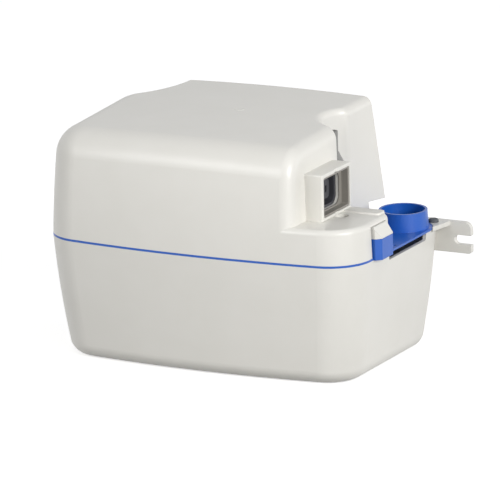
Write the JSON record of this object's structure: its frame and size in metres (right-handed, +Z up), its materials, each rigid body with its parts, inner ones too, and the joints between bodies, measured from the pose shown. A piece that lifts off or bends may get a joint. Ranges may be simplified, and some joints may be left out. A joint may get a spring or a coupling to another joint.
{
  "type": "condensate pump",
  "caption": "Condensate tank pump with a float-switched centrifugal pump, removable top cover, inlet cup and discharge check valve.",
  "frame": {"origin": "centre of the tank's underside, below the middle of the bounding box", "axes": "+Z up, +X along the body towards the inlet cup, +Y towards the wall the lugs screw to"},
  "size_m": [0.267, 0.146, 0.161],
  "materials": {
    "white_abs": "satin moulded ABS",
    "black_rubber": "moulded nitrile rubber",
    "blue_abs": "satin moulded ABS",
    "zinc_steel": "zinc-plated pressed steel",
    "black_abs": "moulded ABS",
    "stainless": "stainless steel",
    "grey_acetal": "moulded acetal",
    "white_foam": "closed-cell float",
    "natural_nylon": "natural nylon",
    "lamination": "varnished electrical steel",
    "copper": "enamelled copper",
    "aluminium": "die-cast aluminium",
    "bronze": "sintered bronze",
    "steel": "ground steel",
    "charcoal_nylon": "moulded nylon",
    "grey_nylon": "moulded nylon",
    "brass": "brass"
  },
  "bodies": {
    "reservoir": {"tank": "white_abs", "corner_plug": "black_rubber"},
    "cover": {"top_cover": "white_abs", "cover_screw": "zinc_steel", "socket_bezel": "grey_nylon"},
    "latch": {"latch_button": "white_abs"},
    "rotor": {"motor_shaft": "steel", "rotor_core": "steel", "impeller": "black_abs", "cooling_fan": "black_abs", "shaft_slinger": "black_rubber"},
    "float": {"float_body": "white_foam", "float_rod": "stainless", "float_clips": "black_rubber"},
    "lever": {"switch_lever": "natural_nylon"},
    "run_button": {"run_plunger": "natural_nylon"},
    "alarm_button": {"alarm_plunger": "natural_nylon"},
    "ball": {"valve_ball": "stainless"},
    "pump_head": {"lid_plate": "blue_abs", "volute_housing": "black_abs", "volute_cover": "black_abs", "volute_screws": "stainless", "discharge_pipe": "grey_acetal", "valve_body": "grey_acetal", "valve_seal": "black_rubber", "valve_cap": "grey_acetal", "switch_bracket": "natural_nylon", "run_switch": "black_abs", "alarm_switch": "black_abs", "switch_pins": "stainless", "lever_pin": "stainless", "lamination_stack": "lamination", "coil_bobbin": "natural_nylon", "coil_winding": "copper", "shading_rings": "copper", "motor_standoffs": "natural_nylon", "motor_screws": "zinc_steel", "upper_bracket": "aluminium", "lower_bracket": "aluminium", "upper_bearing": "bronze", "lower_bearing": "bronze", "power_socket": "charcoal_nylon", "socket_contacts": "brass", "socket_bracket": "natural_nylon", "terminal_block": "natural_nylon", "terminal_screws": "zinc_steel"}
  },
  "joints": [
    {"name": "head_lift", "type": "slide", "parent": "reservoir", "child": "pump_head", "axis": [0, 0, 1], "range_m": [0, 0.085]},
    {"name": "cover_lift", "type": "slide", "parent": "pump_head", "child": "cover", "axis": [0, 0, 1], "range_m": [0, 0.09]},
    {"name": "latch_press", "type": "slide", "parent": "pump_head", "child": "latch", "axis": [-1, 0, 0], "range_m": [0, 0.0025], "stiffness_N_per_m": 800},
    {"name": "rotor_spin", "type": "hinge", "parent": "pump_head", "child": "rotor", "pos_m": [0, -0.004, 0.107], "axis": [0, 0, 1], "continuous": true},
    {"name": "float_lift", "type": "slide", "parent": "pump_head", "child": "float", "axis": [0, 0, 1], "range_m": [0, 0.013]},
    {"name": "lever_turn", "type": "hinge", "parent": "pump_head", "child": "lever", "pos_m": [-0.09, 0, 0.104], "axis": [0, -1, 0], "range_deg": [0, 20.5]},
    {"name": "run_press", "type": "slide", "parent": "pump_head", "child": "run_button", "axis": [0, 0, -1], "range_m": [0, 0.0023]},
    {"name": "alarm_press", "type": "slide", "parent": "pump_head", "child": "alarm_button", "axis": [0, 0, -1], "range_m": [0, 0.001]},
    {"name": "ball_lift", "type": "slide", "parent": "pump_head", "child": "ball", "axis": [0, 0, 1], "range_m": [0, 0.005]}
  ],
  "couplings": [
    {"joint": "lever_turn", "follows": "float_lift", "rad_per_m": 27.522},
    {"joint": "run_press", "follows": "float_lift", "ratio": 0.1769},
    {"joint": "alarm_press", "follows": "float_lift", "ratio": 0.0769}
  ]
}
